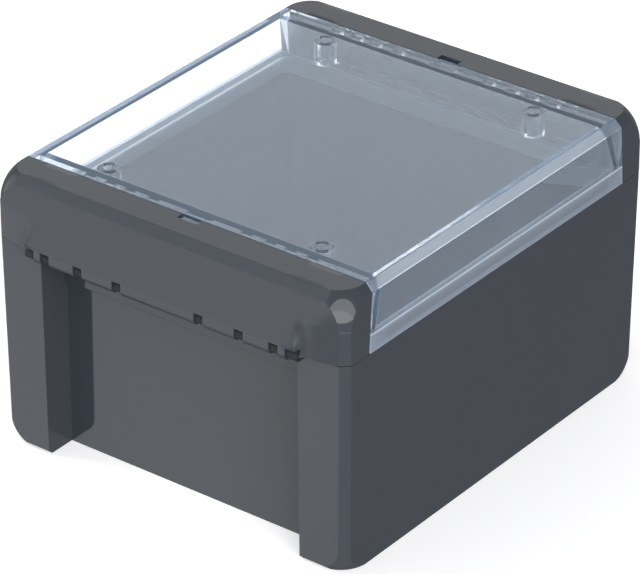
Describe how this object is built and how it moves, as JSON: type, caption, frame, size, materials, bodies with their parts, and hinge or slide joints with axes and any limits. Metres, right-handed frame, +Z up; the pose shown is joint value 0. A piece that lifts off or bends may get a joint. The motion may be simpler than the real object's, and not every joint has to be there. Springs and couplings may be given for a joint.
{
  "type": "electrical enclosure",
  "caption": "Deep rectangular electrical enclosure with corner posts, a clear cover and hinged end flaps that close over the cover's ends.",
  "frame": {"origin": "middle of the underside of the tub", "axes": "+Z up, +Y from the front flap to the rear flap, +X along the front flap to its right end"},
  "size_m": [0.125, 0.153, 0.089],
  "materials": {
    "dark_plastic": "smooth satin-gloss moulded polycarbonate, graphite grey",
    "clear_polycarbonate": "clear polished polycarbonate",
    "seal_rubber": "matt foam seal",
    "hinge_steel": "drawn steel rod"
  },
  "bodies": {
    "tub": {"base_housing": "dark_plastic", "front_hinge_rod": "hinge_steel", "rear_hinge_rod": "hinge_steel"},
    "cover": {"lid": "clear_polycarbonate", "lid_gasket": "seal_rubber"},
    "front_closure": {"front_flap": "dark_plastic"},
    "rear_closure": {"rear_flap": "dark_plastic"}
  },
  "joints": [
    {"name": "front_flap_hinge", "type": "hinge", "parent": "tub", "child": "front_closure", "pos_m": [0, -0.0743, 0.0683], "axis": [1, 0, 0], "range_deg": [0, 110]},
    {"name": "cover_hinge", "type": "hinge", "parent": "tub", "child": "cover", "pos_m": [0, 0.0743, 0.0683], "axis": [-1, 0, 0], "range_deg": [0, 90]},
    {"name": "rear_flap_hinge", "type": "hinge", "parent": "cover", "child": "rear_closure", "pos_m": [0, 0.0743, 0.0683], "axis": [-1, 0, 0], "range_deg": [0, 60]}
  ]
}
